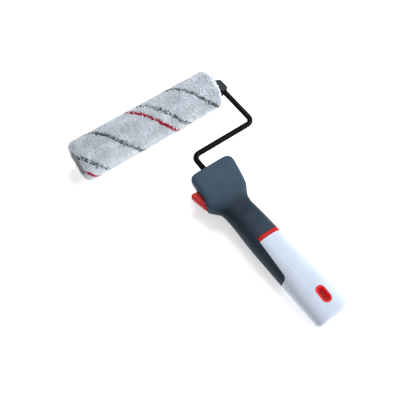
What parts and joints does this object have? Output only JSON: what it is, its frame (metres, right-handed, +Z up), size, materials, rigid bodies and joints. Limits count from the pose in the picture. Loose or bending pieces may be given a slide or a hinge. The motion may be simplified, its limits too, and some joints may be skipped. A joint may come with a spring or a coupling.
{
  "type": "paint roller",
  "caption": "Paint roller: striped pile sleeve on a ribbed spindle and cranked wire frame, held by a push-in latch in a soft-grip handle with an off-side trigger and a hang eye.",
  "frame": {"origin": "centre of the bounding box's bottom face: the roller lies flat with the sleeve's underside at z = 0", "axes": "+X along the axle from the sleeve's free end towards the side arm; +Y from the handle's butt towards the sleeve; +Z up, square to the plane of the wire frame"},
  "size_m": [0.1932, 0.3116, 0.048],
  "materials": {
    "pile": "looped pile with helical red and grey threads",
    "core_board": "matt",
    "black_plastic": "satin",
    "white_acetal": "satin",
    "black_paint": "gloss",
    "steel": "bright",
    "red_plastic": "satin",
    "grey_rubber": "soft matt",
    "white_plastic": "satin",
    "grey_plastic": "matt"
  },
  "bodies": {
    "handle": {"handle_core": "red_plastic", "soft_grip": "grey_rubber", "rear_shell": "white_plastic", "accent_band": "red_plastic", "hang_eye_liner": "red_plastic", "tang_bush": "white_acetal", "latch_spring": "steel", "trigger_pin": "steel", "trigger_spring": "steel", "latch_cover": "grey_plastic", "cover_screw_1": "steel", "cover_screw_2": "steel", "cover_screw_3": "steel", "cover_screw_4": "steel"},
    "frame": {"wire_frame": "black_paint", "stop_boot": "black_plastic", "thrust_washer": "steel", "retaining_clip": "steel"},
    "spindle": {"spindle_body": "black_plastic", "frame_side_cap": "black_plastic", "free_end_cap": "black_plastic", "frame_side_bearing": "white_acetal", "free_end_bearing": "white_acetal"},
    "sleeve": {"pile_cover": "pile", "core_tube": "core_board"},
    "trigger": {"release_trigger": "red_plastic"}
  },
  "joints": [
    {"name": "frame_release", "type": "slide", "parent": "handle", "child": "frame", "axis": [0, 1, 0], "range_m": [0, 0.05], "deforming": ["latch_spring"]},
    {"name": "sleeve_spin", "type": "hinge", "parent": "frame", "child": "spindle", "pos_m": [0.00985, 0.13175, 0.024], "axis": [1, 0, 0], "continuous": true},
    {"name": "sleeve_pull", "type": "slide", "parent": "spindle", "child": "sleeve", "axis": [-1, 0, 0], "range_m": [0, 0.19]},
    {"name": "trigger_press", "type": "hinge", "parent": "handle", "child": "trigger", "pos_m": [-0.00565, 0.00725, 0.024], "axis": [0, 0, -1], "range_deg": [0, 7], "stiffness_Nm_per_rad": 0.4, "springref_deg": -11.46, "deforming": ["trigger_spring", "latch_spring"]}
  ]
}
